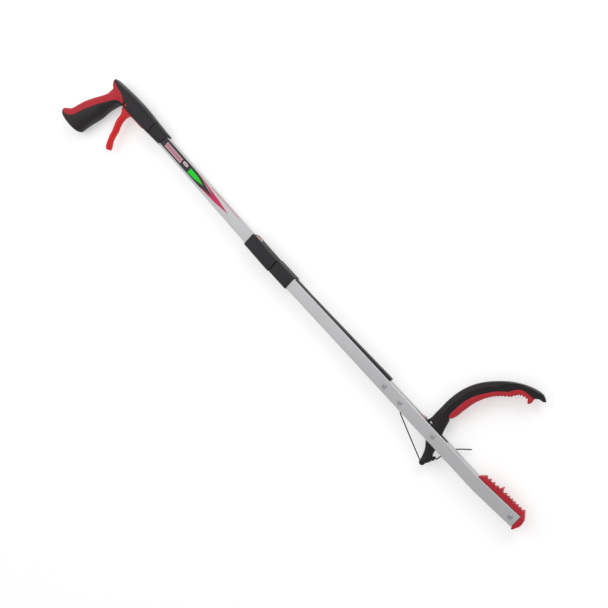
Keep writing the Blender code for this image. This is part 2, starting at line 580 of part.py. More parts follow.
def build_spring():
    block = add("guide_block", box_mesh("guide_block", (212.0, -6.0, -4.7), (252.0, 7.6, 4.7)), LOWER,
                BLACK)
    ways = [add(f"{name}_way", rod_mesh(name, (*RIVETS[name], -9.0), (*RIVETS[name], 9.0),
                                        RIVET_RADIUS + GAP), LOWER)
            for name in ("rivet_guide_rear", "rivet_guide_front")]
    cord_way = add("block_cord_way", box_mesh("way", (205.0, -7.5, -6.0), (260.0, -3.2, -1.6)), LOWER)
    spring_eye = add("block_eye", rod_mesh("eye", (249.6, 4.0, -9.0), (249.6, 4.0, 9.0), 1.0), LOWER)
    combine(block, ways + [cord_way, spring_eye])
    turns = 9
    start, end = Vector((252.8, 4.0, 0.0)), Vector((271.0, 6.0, 0.0))
    points = []
    for k in range(turns * 8 + 1):
        angle = 2 * math.pi * k / 8
        centre = start.lerp(end, k / (turns * 8))
        points.append(centre + Vector((0.0, 1.9 * math.cos(angle), 1.9 * math.sin(angle))))
    points += [Vector((273.5, 7.6, 0.0)), Vector((279.0, 10.6, 0.0)), Vector((284.3, 11.4, 0.0))]
    add("return_spring", wire_mesh("return_spring", points, 0.4), LOWER, STEEL)


# --- pull cord ---
# Inside the tubes the cord is held all the way, between the trigger's arm and the jaw's tail.
CORD_IN_HANDLE = ((-290.5, 1.2, CORD_Z), (-150.0, 0.0, CORD_Z), (-13.0, 0.0, CORD_Z),
                  (-9.0, 0.0, -5.0), (-5.0, 0.0, -6.1), (0.1, 0.0, -6.15))
CORD_IN_LOWER = ((1.1, -1.1, -6.15), (5.0, -1.1, -6.1), (9.0, -1.1, -5.0), (13.0, -1.2, CORD_Z),
                 (120.0, -3.2, CORD_Z), (205.0, -4.5, CORD_Z), (246.0, -4.6, CORD_Z),
                 (249.0, -6.0, -3.2), (251.4, -7.6, -1.8))
CORD_OUTSIDE = ((252.2, -8.2, -1.4), (256.0, -10.2, -0.9), (270.0, -15.7, -0.5), (290.0, -23.3, -0.2),
                (309.9, -30.7, 0.0))
# The free tail leaves the jaw's cleat, passes behind the tube and ends in the open.
CORD_TAIL = ((323.6, -17.4, -4.6), (324.4, -14.4, -6.2), (324.6, -11.0, -7.3), (325.4, -5.0, -7.5),
             (327.2, 1.2, -7.5), (330.2, 7.6, -7.5), (334.6, 13.2, -7.4), (339.4, 18.4, -7.3),
             (343.9, 23.1, -7.2))
CORD_STEP = 3.2


def cord_fall():
    """The cord's bight: over the post, round the pin on the trigger's arm, up to the anchor."""
    post_turn = CORD_RADIUS + 1.6 + 0.35
    pin_turn = CORD_RADIUS + 1.15 + 0.35
    points = [(CORD_POST[0] + 2.9, CORD_POST[1] + post_turn, CORD_Z + 2.0)]
    for degrees in range(90, 181, 15):
        angle = math.radians(degrees)
        points.append((CORD_POST[0] + post_turn * math.cos(angle),
                       CORD_POST[1] + post_turn * math.sin(angle), 0.0))
    for degrees in range(0, -181, -20):
        angle = math.radians(degrees)
        points.append((ARM_PIN[0] + pin_turn * math.cos(angle),
                       ARM_PIN[1] + pin_turn * math.sin(angle), 0.0))
    return points + [(CORD_ANCHOR[0], CORD_ANCHOR[1] - 1.5 - CORD_RADIUS, 0.0)]


def build_cord():
    add("pull_cord_upper", wire_mesh("pull_cord_upper", CORD_IN_HANDLE, CORD_RADIUS), HANDLE, CORD)
    add("pull_cord_lower", wire_mesh("pull_cord_lower", CORD_IN_LOWER, CORD_RADIUS), LOWER, CORD)
    outer = smooth_points(CORD_OUTSIDE, CORD_STEP)
    add("pull_cord_outer", wire_mesh("pull_cord_outer", outer, CORD_RADIUS), LOWER, CORD)
    add("pull_cord_bight", wire_mesh("pull_cord_bight", cord_fall(), CORD_RADIUS), HANDLE, CORD)
    tail = smooth_points(CORD_TAIL, CORD_STEP)
    add("cord_tail", wire_mesh("cord_tail", tail, CORD_RADIUS), LOWER, CORD, (*JAW_PIVOT, 0.0))


def build():
    build_casing()
    build_nose()
    build_trigger()
    build_upper_tube()
    build_lower_tube()
    build_rivets()
    build_sleeve()
    build_button()
    build_jaw()
    build_insert()
    build_spring()
    build_cord()


clear_scene()
PARTS = new_collection("reacher_grabber")
CUTTERS = new_collection("reacher_grabber_cutters")
TURN = math.radians(HANDLE_TURN)
HANDLE = new_frame("handle_frame", SEAM_X + HANDLE_DROP * math.sin(TURN),
                   SEAM_Y + HANDLE_DROP * math.cos(TURN), -HANDLE_TURN)
LOWER = new_frame("lower_frame", SEAM_X, SEAM_Y, 0.0)
bpy.context.view_layer.update()
build()
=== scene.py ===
"""Looks of the folding reacher grabber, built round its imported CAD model.

Figures are millimetres in the frame of the half that a piece belongs to (x = 0 at the sleeve's
seam, y = 0 on the tube's centre line, z = 0 in its middle plane), and are scaled by MM.
"""
import json
import math

import bmesh
import bpy
from mathutils import Matrix, Vector


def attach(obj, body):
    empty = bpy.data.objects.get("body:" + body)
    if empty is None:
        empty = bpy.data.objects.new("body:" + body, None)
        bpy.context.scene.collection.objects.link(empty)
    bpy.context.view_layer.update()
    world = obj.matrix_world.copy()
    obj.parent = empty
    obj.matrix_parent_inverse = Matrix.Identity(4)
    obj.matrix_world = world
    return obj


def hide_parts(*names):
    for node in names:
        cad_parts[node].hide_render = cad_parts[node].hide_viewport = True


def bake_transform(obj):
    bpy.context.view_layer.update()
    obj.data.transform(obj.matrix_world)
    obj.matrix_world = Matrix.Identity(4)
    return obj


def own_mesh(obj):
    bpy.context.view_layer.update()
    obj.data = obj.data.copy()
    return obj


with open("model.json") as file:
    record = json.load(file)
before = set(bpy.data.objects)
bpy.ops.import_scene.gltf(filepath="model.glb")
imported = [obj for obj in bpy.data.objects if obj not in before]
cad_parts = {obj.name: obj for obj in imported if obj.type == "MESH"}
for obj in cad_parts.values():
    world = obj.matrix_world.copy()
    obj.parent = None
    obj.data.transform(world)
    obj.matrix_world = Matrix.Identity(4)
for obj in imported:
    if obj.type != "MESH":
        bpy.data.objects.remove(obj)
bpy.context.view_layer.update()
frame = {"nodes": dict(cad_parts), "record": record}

MM = 0.001
SEAM = Vector((-5.776, -22.7, 12.907)) * MM
HANDLE_TURN = math.radians(1.25)
HANDLE_DROP = -1.1
LOWER = Matrix.Translation(SEAM)
HANDLE = (Matrix.Translation(SEAM) @ Matrix.Rotation(-HANDLE_TURN, 4, 'Z')
          @ Matrix.Translation((0.0, HANDLE_DROP * MM, 0.0)))


# --- camera ---
def add_camera():
    """The viewing angle is given in the lower half's frame."""
    right = Vector((0.6412, 0.6510, -0.4063))
    down = Vector((0.7002, -0.7130, -0.0373))
    forward = Vector((-0.3139, -0.2606, -0.9130))
    turn = Matrix((right, -down, -forward)).transposed().to_4x4()
    camera = bpy.data.objects.new("camera", bpy.data.cameras.new("camera"))
    camera.data.lens = 46.2
    camera.data.sensor_width = 36.0
    camera.data.clip_end = 20.0
    camera.matrix_world = Matrix.Translation(SEAM + Vector((0.3861, 0.2590, 0.9294))) @ turn
    bpy.context.scene.collection.objects.link(camera)
    bpy.context.scene.camera = camera


# --- materials ---
def new_material(name, colour, roughness, metallic=0.0, coat=0.0, specular=0.5):
    material = bpy.data.materials.new(name)
    material.use_nodes = True
    shader = material.node_tree.nodes["Principled BSDF"]
    shader.inputs["Base Color"].default_value = (*colour, 1.0)
    shader.inputs["Roughness"].default_value = roughness
    shader.inputs["Metallic"].default_value = metallic
    shader.inputs["Coat Weight"].default_value = coat
    shader.inputs["Specular IOR Level"].default_value = specular
    return material, material.node_tree, shader


def noise(tree, scale, detail=3.0, stretch=(1.0, 1.0, 1.0)):
    """Noise in object space, stretched along the axes."""
    place = tree.nodes.new("ShaderNodeTexCoord")
    mapping = tree.nodes.new("ShaderNodeMapping")
    mapping.inputs["Scale"].default_value = stretch
    texture = tree.nodes.new("ShaderNodeTexNoise")
    texture.inputs["Scale"].default_value = scale
    texture.inputs["Detail"].default_value = detail
    tree.links.new(place.outputs["Object"], mapping.inputs["Vector"])
    tree.links.new(mapping.outputs["Vector"], texture.inputs["Vector"])
    return texture.outputs["Fac"]


def spread(tree, value, low, high):
    ramp = tree.nodes.new("ShaderNodeMapRange")
    ramp.inputs["From Min"].default_value = 0.3
    ramp.inputs["From Max"].default_value = 0.7
    ramp.inputs["To Min"].default_value = low
    ramp.inputs["To Max"].default_value = high
    tree.links.new(value, ramp.inputs["Value"])
    return ramp.outputs["Result"]


def bump(tree, shader, height, strength, distance):
    node = tree.nodes.new("ShaderNodeBump")
    node.inputs["Strength"].default_value = strength
    node.inputs["Distance"].default_value = distance
    tree.links.new(height, node.inputs["Height"])
    tree.links.new(node.outputs["Normal"], shader.inputs["Normal"])


def vary_colour(tree, shader, colour, factor, amount):
    mix = tree.nodes.new("ShaderNodeMix")
    mix.data_type = 'RGBA'
    # Sockets 6, 7 and output 2 are the colour ones; by name the float ones would be found.
    mix.inputs[6].default_value = (*[c * (1 - amount) for c in colour], 1.0)
    mix.inputs[7].default_value = (*[min(1.0, c * (1 + amount)) for c in colour], 1.0)
    tree.links.new(factor, mix.inputs[0])
    tree.links.new(mix.outputs[2], shader.inputs["Base Color"])


def moulded(name, colour, roughness, grain=1400.0, depth=0.00006, coat=0.0, amount=0.12,
            specular=0.3):
    """Moulded plastic or rubber: spark-eroded grain, faint flow marks, uneven gloss."""
    material, tree, shader = new_material(name, colour, roughness, coat=coat, specular=specular)
    bump(tree, shader, noise(tree, grain), 0.35, depth)
    tree.links.new(spread(tree, noise(tree, 60.0), roughness - 0.06, roughness + 0.08),
                   shader.inputs["Roughness"])
    vary_colour(tree, shader, colour, noise(tree, 35.0), amount)
    return material


def drawn_metal(name, colour, roughness, metallic=1.0, stretch=(6.0, 500.0, 500.0)):
    """Extruded or drawn metal: fine lines along its length."""
    material, tree, shader = new_material(name, colour, roughness, metallic)
    lines = noise(tree, 3.0, 2.0, stretch)
    bump(tree, shader, lines, 0.12, 0.00003)
    tree.links.new(spread(tree, lines, roughness - 0.05, roughness + 0.08),
                   shader.inputs["Roughness"])
    vary_colour(tree, shader, colour, noise(tree, 12.0, 2.0), 0.06)
    return material


def braided(name, colour):
    """Cord: diagonal strands as bands of height and shade."""
    material, tree, shader = new_material(name, colour, 0.75)
    place = tree.nodes.new("ShaderNodeTexCoord")
    wave = tree.nodes.new("ShaderNodeTexWave")
    wave.bands_direction = 'DIAGONAL'
    wave.inputs["Scale"].default_value = 500.0
    wave.inputs["Distortion"].default_value = 1.0
    tree.links.new(place.outputs["Object"], wave.inputs["Vector"])
    bump(tree, shader, wave.outputs["Fac"], 0.6, 0.0001)
    vary_colour(tree, shader, colour, wave.outputs["Fac"], 0.35)
    return material


def printed(name, colour):
    """Printed film: almost smooth, with very little change of colour."""
    return moulded(name, colour, 0.32, grain=2500.0, depth=0.00001, amount=0.05)


BLACK = moulded("black_moulding", (0.016, 0.0135, 0.0155), 0.42, specular=0.24)
SLEEVE_BLACK = moulded("sleeve_moulding", (0.018, 0.017, 0.020), 0.46, specular=0.24)
GRIP_RED = moulded("grip_soft_red", (0.44, 0.015, 0.026), 0.6, grain=900.0, depth=0.00009)
TRIGGER_RED = moulded("trigger_gloss_red", (0.62, 0.003, 0.005), 0.27, coat=0.08, amount=0.06,
                      specular=0.25)
JAW_BLACK = moulded("jaw_gloss_black", (0.009, 0.007, 0.0085), 0.30, specular=0.3)
PAD_RED = moulded("pad_matte_red", (0.42, 0.013, 0.024), 0.5, grain=1100.0)
ALUMINIUM = drawn_metal("satin_aluminium", (0.50, 0.50, 0.51), 0.38, 0.6)
STEEL = drawn_metal("bright_steel", (0.50, 0.50, 0.51), 0.28, 1.0, (200.0, 200.0, 200.0))
RIVET = drawn_metal("rivet_steel", (0.42, 0.42, 0.43), 0.3, 1.0, (200.0, 200.0, 200.0))
PLATED = drawn_metal("plated_tongue", (0.50, 0.36, 0.35), 0.4, 0.7, (200.0, 200.0, 200.0))
CORD = braided("braided_cord", (0.045, 0.042, 0.047))
FILM_BLACK = printed("film_black", (0.022, 0.021, 0.024))
FILM_PALE = printed("film_pale", (0.56, 0.36, 0.41))
# White print, also used for the button's pale ring, which is a painted highlight.
PRINT_AND_HIGHLIGHT_WHITE = printed("print_and_highlight_white", (0.62, 0.56, 0.58))
FILM_CRIMSON = printed("film_crimson", (0.52, 0.018, 0.085))
FILM_GREEN = printed("film_green", (0.0, 0.60, 0.012))


# --- mesh makers ---
def mesh_object(name, bm, place, materials=(), smooth_angle=35.0):
    bmesh.ops.remove_doubles(bm, verts=bm.verts, dist=1e-6)
    bmesh.ops.recalc_face_normals(bm, faces=bm.faces)
    mesh = bpy.data.meshes.new(name)
    bm.to_mesh(mesh)
    bm.free()
    mesh.transform(place)
    mesh.shade_smooth()
    if smooth_angle:
        mesh.set_sharp_from_angle(angle=math.radians(smooth_angle))
    obj = bpy.data.objects.new(name, mesh)
    bpy.context.scene.collection.objects.link(obj)
    for material in materials:
        mesh.materials.append(material)
    return obj


def apply_modifiers(obj):
    graph = bpy.context.evaluated_depsgraph_get()
    mesh = bpy.data.meshes.new_from_object(obj.evaluated_get(graph))
    obj.modifiers.clear()
    obj.data = mesh
    return obj


def combine(obj, others, operation='DIFFERENCE'):
    for other in others:
        step = obj.modifiers.new("combine", 'BOOLEAN')
        step.operation = operation
        step.object = other
        step.solver = 'EXACT'
    apply_modifiers(obj)
    for other in others:
        bpy.data.objects.remove(other, do_unlink=True)
    return obj


def smooth_line(points, step, closed=False):
    """Points about a step apart on a Catmull-Rom curve through the given ones."""
    points = [Vector(p) for p in points]
    if closed:
        ends = [points[-1]] + points + [points[0], points[1]]
        out = []
    else:
        ends = [2 * points[0] - points[1]] + points + [2 * points[-1] - points[-2]]
        out = [points[0]]
    for a, b, c, d in zip(ends, ends[1:], ends[2:], ends[3:]):
        parts = max(1, round((c - b).length / step))
        for k in range(1, parts + 1):
            t = k / parts
            out.append(0.5 * (2 * b + (c - a) * t + (2 * a - 5 * b + 4 * c - d) * t * t
                              + (3 * b - a - 3 * c + d) * t ** 3))
    return out


def skin(rings, closed_ends=True):
    bm = bmesh.new()
    loops = [[bm.verts.new(Vector(p) * MM) for p in ring] for ring in rings]
    count = len(loops[0])
    for first, second in zip(loops, loops[1:]):
        for i in range(count):
            j = (i + 1) % count
            bm.faces.new((first[i], first[j], second[j], second[i]))
    if closed_ends:
        bm.faces.new(loops[0])
        bm.faces.new(loops[-1])
    return bm


def pipe_skin(outer, inner):
    """A hollow skin: outer rings, then inner rings back, joined at both ends."""
    rings = outer + inner[::-1]
    bm = bmesh.new()
    loops = [[bm.verts.new(Vector(p) * MM) for p in ring] for ring in rings]
    count = len(loops[0])
    for first, second in zip(loops, loops[1:] + loops[:1]):
        for i in range(count):
            j = (i + 1) % count
            bm.faces.new((first[i], first[j], second[j], second[i]))
    return bm


def squircle(centre, half, power, count=64):
    points = []
    for k in range(count):
        angle = 2 * math.pi * (k + 0.5) / count
        c, s = math.cos(angle), math.sin(angle)
        points.append((centre[0] + half[0] * math.copysign(abs(c) ** (2 / power), c),
                       centre[1] + half[1] * math.copysign(abs(s) ** (2 / power), s)))
    return points


def rounded_rectangle(half, radius, corner_steps=6):
    points = []
    for k, (sx, sy) in enumerate(((1, 1), (-1, 1), (-1, -1), (1, -1))):
        for step in range(corner_steps + 1):
            angle = math.pi / 2 * (k + step / corner_steps)
            points.append((sx * (half[0] - radius) + radius * math.cos(angle),
                           sy * (half[1] - radius) + radius * math.sin(angle)))
    return points


def plate(name, outline, low, high, place, materials, bevel=0.0, segments=3, angle=35.0):
    """A flat outline between two heights, with its long edges rounded."""
    bm = bmesh.new()
    verts = [bm.verts.new((p[0] * MM, p[1] * MM, low * MM)) for p in outline]
    face = bm.faces.new(verts)
    out = bmesh.ops.extrude_face_region(bm, geom=[face])
    moved = [e for e in out["geom"] if isinstance(e, bmesh.types.BMVert)]
    bmesh.ops.translate(bm, verts=moved, vec=(0.0, 0.0, (high - low) * MM))
    if bevel:
        rims = [e for e in bm.edges if abs(e.verts[0].co.z - e.verts[1].co.z) < 1e-7]
        bmesh.ops.bevel(bm, geom=rims, offset=bevel * MM, segments=segments, affect='EDGES',
                        profile=0.5, clamp_overlap=True)
    caps = [f for f in bm.faces if len(f.verts) > 4]
    bmesh.ops.triangulate(bm, faces=caps)
    return mesh_object(name, bm, place, materials, angle)


def rounded_box(name, low, high, place, materials, radius=1.0, segments=4):
    bm = bmesh.new()
    bmesh.ops.create_cube(bm, size=1.0)
    bmesh.ops.scale(bm, vec=[(b - a) * MM for a, b in zip(low, high)], verts=bm.verts)
    bmesh.ops.translate(bm, vec=[(a + b) / 2 * MM for a, b in zip(low, high)], verts=bm.verts)
    if radius:
        bmesh.ops.bevel(bm, geom=list(bm.edges), offset=radius * MM, segments=segments,
                        affect='EDGES', profile=0.5, clamp_overlap=True)
    return mesh_object(name, bm, place, materials)


def turned(name, profile, centre, axis, place, materials=(), steps=48):
    """A turned piece: (radius, height) pairs spun round an axis through a centre."""
    rings = []
    turn = Vector(axis).to_track_quat('Z', 'Y')
    for radius, height in profile:
        ring = []
        for k in range(steps):
            angle = 2 * math.pi * k / steps
            local = Vector((radius * math.cos(angle), radius * math.sin(angle), height))
            ring.append(Vector(centre) + turn @ local)
        rings.append(ring)
    return mesh_object(name, skin(rings), place, materials)


def tube(name, points, radius, place, materials, sides=12):
    """A round wire or cord with a rounded end, along points in millimetres."""
    points = [Vector(p) for p in points]
    tangents = []
    for k in range(len(points)):
        ahead = points[min(k + 1, len(points) - 1)] - points[max(k - 1, 0)]
        tangents.append(ahead.normalized())
    side = tangents[0].orthogonal().normalized()
    rings = []
    for k, (point, tangent) in enumerate(zip(points, tangents)):
        side = (side - tangent * side.dot(tangent)).normalized()
        other = tangent.cross(side)
        rings.append([point + radius * (side * math.cos(2 * math.pi * i / sides)
                                        + other * math.sin(2 * math.pi * i / sides))
                      for i in range(sides)])
    return mesh_object(name, skin(rings), place, materials)


def finish(obj, body, slot, *nodes):
    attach(obj, body)
    if nodes:
        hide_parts(*nodes)
    return obj


# --- handle casing, soft overmould and nose ---
# Barrel sections: x, lowest y, highest y, half thickness.
BARREL = ((-387.3, 5.4, 7.2, 2.6), (-385.2, 3.7, 8.3, 6.4), (-382.0, 0.6, 8.9, 9.2),
          (-376.0, -4.0, 9.3, 11.2),
          (-362.0, -9.0, 10.5, 12.2), (-350.0, -11.4, 11.4, 12.6), (-323.0, -12.2, 12.5, 12.1),
          (-298.0, -11.5, 12.0, 10.6), (-281.2, -10.5, 11.1, 9.3))
NOSE = ((-280.7, -10.0, 10.7, 8.9), (-280.2, -10.4, 11.1, 9.2), (-266.0, -9.6, 10.7, 8.2),
        (-254.5, -9.2, 10.4, 7.5), (-251.6, -8.9, 10.0, 7.3), (-250.6, -8.3, 9.2, 6.9))
# Grip sections: y, rear x, front x, half thickness.
GRIP = ((4.0, -375.0, -352.0, 9.5), (-6.0, -379.0, -350.5, 11.6), (-12.0, -379.6, -351.4, 12.0),
        (-19.0, -382.4, -356.6, 12.3), (-34.7, -394.3, -363.2, 12.8), (-50.6, -405.4, -366.4, 12.9),
        (-63.4, -411.6, -371.4, 12.9), (-74.7, -417.5, -375.8, 12.9), (-82.0, -428.0, -377.7, 12.9),
        (-87.0, -430.0, -378.8, 12.8), (-90.6, -427.0, -380.4, 11.8), (-92.7, -419.0, -384.6, 9.6))
OVERMOULD_EDGE = ((-376.3, 4.8), (-363.0, 2.7), (-353.9, 0.9), (-347.6, -1.9), (-343.9, -5.4),
                  (-345.4, -7.9), (-352.1, -8.8), (-359.9, -13.6), (-368.1, -24.3),
                  (-379.8, -40.2), (-391.0, -57.7), (-399.4, -73.9), (-408.1, -82.5),
                  (-419.5, -86.2), (-436.0, -87.5))
TRIGGER_PIVOT = (-338.0, -5.0, 0.0)
TRUNNION_SHEAR = 0.4
SOFT_RISE = 0.55
VOXEL = 0.9


def spline_stations(stations, step):
    """Sections at even steps on a smooth curve through the given ones."""
    values = list(zip(*stations))
    out = [stations[0]]
    count = len(stations)
    for k in range(count - 1):
        parts = max(1, round(abs(stations[k + 1][0] - stations[k][0]) / step))
        for j in range(1, parts + 1):
            t = j / parts
            row = []
            for column in values:
                b, c = column[k], column[k + 1]
                a = column[k - 1] if k else 2 * b - c
                d = column[k + 2] if k + 2 < count else 2 * c - b
                row.append(0.5 * (2 * b + (c - a) * t + (2 * a - 5 * b + 4 * c - d) * t * t
                                  + (3 * b - a - 3 * c + d) * t ** 3))
            out.append(tuple(row))
    return out


def barrel_rings(stations, step=3.0, power=3.0):
    rings = []
    for x, low, high, half in spline_stations(stations, step):
        section = squircle(((low + high) / 2, 0.0), ((high - low) / 2, half), power)
        rings.append([(x, y, z) for y, z in section])
    return rings


def grip_rings(step=3.0, power=2.35):
    rings = []
    for y, rear, front, half in spline_stations(GRIP, step):
        section = squircle(((rear + front) / 2, 0.0), ((front - rear) / 2, half), power)
        rings.append([(x, y, z) for x, z in section])
    return rings


def handle_form():
    """Barrel and grip run together in one smooth skin, in the handle's own millimetres."""
    identity = Matrix.Identity(4)
    form = mesh_object("handle_form", skin(barrel_rings(BARREL)), identity)
    grip = mesh_object("grip_form", skin(grip_rings()), identity)
    combine(form, [grip], 'UNION')
    remesh = form.modifiers.new("remesh", 'REMESH')
    remesh.mode = 'VOXEL'
    remesh.voxel_size = VOXEL * MM
    relax = form.modifiers.new("relax", 'SMOOTH')
    relax.factor = 0.5
    relax.iterations = 8
    return apply_modifiers(form)


def edge_distance(x, y, outline):
    """Distance to a closed outline in millimetres, positive inside it."""
    nearest = 1e9
    inside = False
    for (ax, ay), (bx, by) in zip(outline, outline[1:] + outline[:1]):
        dx, dy = bx - ax, by - ay
        t = max(0.0, min(1.0, ((x - ax) * dx + (y - ay) * dy) / (dx * dx + dy * dy)))
        nearest = min(nearest, math.hypot(x - ax - t * dx, y - ay - t * dy))
        if (ay > y) != (by > y) and x < (bx - ax) * (y - ay) / (by - ay) + ax:
            inside = not inside
    return nearest if inside else -nearest


def build_casing():
    """Casing, the overmould cut from the same form, and the nose. The casing's window for the
    trigger's boss is open from z = 8.5 outwards only."""
    edge = [tuple(p[:2]) for p in smooth_line([(*p, 0.0) for p in OVERMOULD_EDGE], 1.5)]
    region = [(-395.0, 6.4)] + edge + [(-440.0, -87.6), (-440.0, 6.4)]
    form = handle_form()
    soft = bpy.data.objects.new("grip_soft", form.data.copy())
    bpy.context.scene.collection.objects.link(soft)
    identity = Matrix.Identity(4)
    cutter = plate("soft_region", region, -20.0, 20.0, identity, ())
    combine(soft, [cutter], 'INTERSECT')
    for vert, normal in [(v, v.normal.copy()) for v in form.data.vertices]:
        depth = edge_distance(vert.co.x / MM, vert.co.y / MM, region)
        if depth > -0.8:
            sink = SOFT_RISE * min(1.0, (depth + 0.8) / 1.2)
            vert.co -= normal * (sink * MM)
    form.name = "handle_casing"
    form.data.materials.append(BLACK)
    pivot_x, pivot_y = TRIGGER_PIVOT[:2]
    cuts = [rounded_box("slot", (-352.8, -24.0, -5.0), (-292.0, 6.0, 5.0), identity, (), 0.0)]
    for side in (-1, 1):
        window = [(pivot_x + x, pivot_y + y) for x, y in
                  [(p[0] - TRUNNION_SHEAR * p[1], p[1])
                   for p in squircle((0.0, 0.0), (2.15, 2.75), 2.6, 40)]]
        low, high = sorted((side * 8.5, side * 15.0))
        cuts.append(plate("window", window, low, high, identity, ()))
    for x, y in ((-394.0, -82.0), (-374.0, -37.0), (-352.0, 6.0), (-314.0, 6.0)):
        cuts.append(turned("well", ((2.9, -16.0), (2.9, -10.4)), (x, y, 0.0), (0, 0, 1), identity))
    combine(form, cuts)
    for obj in (form, soft):
        obj.data.transform(HANDLE)
        obj.data.shade_smooth()
        obj.data.set_sharp_from_angle(angle=math.radians(40.0))
    soft.data.materials.clear()
    soft.data.materials.append(GRIP_RED)
    finish(form, "handle", "casing_black", "handle_shell_front", "handle_shell_back")
    finish(soft, "handle", "grip_red", "grip_overmould")

    nose = mesh_object("nose", skin(barrel_rings(NOSE, 2.0)), HANDLE, [BLACK], 50.0)
    bore = rounded_box("bore", (-300.0, -8.25, -6.25), (-240.0, 8.25, 6.25), HANDLE, (), 0.0)
    end = plate("nose_end", [(-258.4, -14.0), (-240.0, -14.0), (-240.0, 14.0), (-251.2, 14.0)],
                -12.0, 12.0, HANDLE, ())
    combine(nose, [bore, end])
    finish(nose, "handle", "casing_black", "nose_collar")


# --- trigger ---
TRIGGER = ((-344.5, -1.5), (-338.0, 1.2), (-331.0, 0.6), (-322.0, -3.5), (-304.0, -5.2),
           (-296.3, -6.2), (-294.6, -9.0), (-297.0, -12.2), (-310.0, -12.8), (-323.0, -13.2),
           (-328.4, -15.8), (-331.6, -20.5), (-332.8, -26.5), (-332.5, -33.0), (-331.0, -38.5),
           (-328.8, -44.0), (-327.7, -50.0), (-326.4, -56.5), (-324.2, -62.3), (-320.8, -67.2),
           (-319.0, -70.4), (-319.2, -73.2), (-321.6, -74.6), (-325.2, -73.2), (-328.2, -69.0),
           (-330.8, -62.8), (-333.0, -56.5), (-334.6, -49.5), (-336.8, -43.0), (-339.2, -36.7),
           (-340.4, -30.0), (-340.4, -24.0), (-342.2, -18.6), (-346.0, -14.0), (-347.5, -7.0))


def build_trigger():
    outline = [tuple(p[:2]) for p in smooth_line([(*p, 0.0) for p in TRIGGER], 2.0, closed=True)]
    lever = plate("trigger_lever", outline, -4.4, 4.4, HANDLE, [TRIGGER_RED], 1.5, 4, 50.0)
    fork = rounded_box("fork", (-306.0, -20.0, -2.2), (-290.0, 0.0, 2.2), HANDLE, (), 0.0)
    combine(lever, [fork])
    finish(lever, "trigger_lever", "trigger_red", "trigger")
    for side, word in ((-1, "back"), (1, "front")):
        shape = squircle((0.0, 0.0), (1.75, 2.35), 2.6, 40)
        outline = [(TRIGGER_PIVOT[0] + x - TRUNNION_SHEAR * y, TRIGGER_PIVOT[1] + y)
                   for x, y in shape]
        low, high = sorted((side * 4.3, side * 11.6))
        boss = plate(f"trigger_boss_{word}", outline, low, high, HANDLE, [TRIGGER_RED], 0.5, 3)
        finish(boss, "trigger_lever", "trigger_red")


# --- tubes ---
TUBE_RADIUS = 1.3
TUBE_WALL = 1.0
UPPER_HALF = (8.0, 6.0)
LOWER_HALF = (8.3, 6.0)


def tube_rings(stations, half, inset):
    """Rounded rectangular sections at (x, centre y, slant of the section)."""
    section = rounded_rectangle((half[0] - inset, half[1] - inset), max(0.4, TUBE_RADIUS - inset))
    return [[(x - slant * y, centre + y, z) for y, z in section] for x, centre, slant in stations]


def build_upper_tube():
    """Straight and without a hole, so the button's pale ring, a painted highlight, passes through
    its wall.
    """
    stations = [(-290.0, 0.0, 0.0), (-12.0, 0.0, 0.0)]
    bm = pipe_skin(tube_rings(stations, UPPER_HALF, 0.0),
                   tube_rings(stations, UPPER_HALF, TUBE_WALL))
    obj = mesh_object("upper_extrusion", bm, HANDLE, [ALUMINIUM])
    finish(obj, "handle", "aluminium", "upper_tube")


def build_lower_tube():
    """Straight, then bent a few degrees towards the jaw's side, with its top opened at the jaw."""
    bend = 0.0804
    stations = [(12.0, 0.0, 0.0), (372.0, 1.36, 0.01), (380.0, 1.6, 0.04), (388.0, 2.15, 0.075),
                (396.0, 2.76, bend), (435.6, 5.8, bend)]
    bm = pipe_skin(tube_rings(stations, LOWER_HALF, 0.0),
                   tube_rings(stations, LOWER_HALF, TUBE_WALL))
    obj = mesh_object("lower_extrusion", bm, LOWER, [ALUMINIUM])
    mouths = (((282.0, 6.0, -4.7), (319.0, 16.0, 4.7)), ((268.0, 6.0, -1.5), (284.0, 16.0, 1.5)),
              ((284.0, -14.0, -5.0), (331.0, -4.0, 5.0)),
              ((246.0, -12.0, -4.6), (259.0, -4.0, 1.6)))
    cuts = [rounded_box("mouth", low, high, LOWER, (), 0.0) for low, high in mouths]
    combine(obj, cuts)
    finish(obj, "lower_half", "aluminium", "lower_tube")


RIVETS = {"rivet_guide_rear": (218.1, -0.1), "rivet_guide_front": (246.1, 0.1),
          "jaw_pivot_rivet": (302.4, 2.0), "end_rivet": (427.4, 5.2)}


def build_rivets():
    """Tubular rivets with a rolled head on both sides."""
    for name, (x, y) in RIVETS.items():
        head = [(3.2, 0.05), (3.2, 0.35), (2.95, 0.75), (2.4, 1.05), (1.8, 1.15), (1.3, 1.05),
                (1.1, 0.5), (0.95, 0.12), (0.3, 0.08)]
        profile = [(r, -6.0 - h) for r, h in head[::-1]] + [(1.55, -6.05), (1.55, 6.05)]
        profile += [(r, 6.0 + h) for r, h in head]
        rivet = turned(f"{name}_head", profile, (x, y, 0.0), (0, 0, 1), LOWER, [RIVET])
        finish(rivet, "lower_half", "rivet_steel", name)


def build_strip():
    """A thin black strip on the lower tube's top side that rises towards its square end."""
    outline = [(36.8, 8.65), (66.0, 8.75), (150.0, 9.05), (218.0, 9.3), (218.0, 12.1),
               (207.0, 12.0), (150.0, 10.8), (100.0, 9.95), (66.0, 9.45), (36.8, 9.35)]
    strip = plate("rising_strip", outline, -4.5, 4.5, LOWER, [SLEEVE_BLACK], 0.25, 2)
    finish(strip, "lower_half", "sleeve_black", "top_strip")


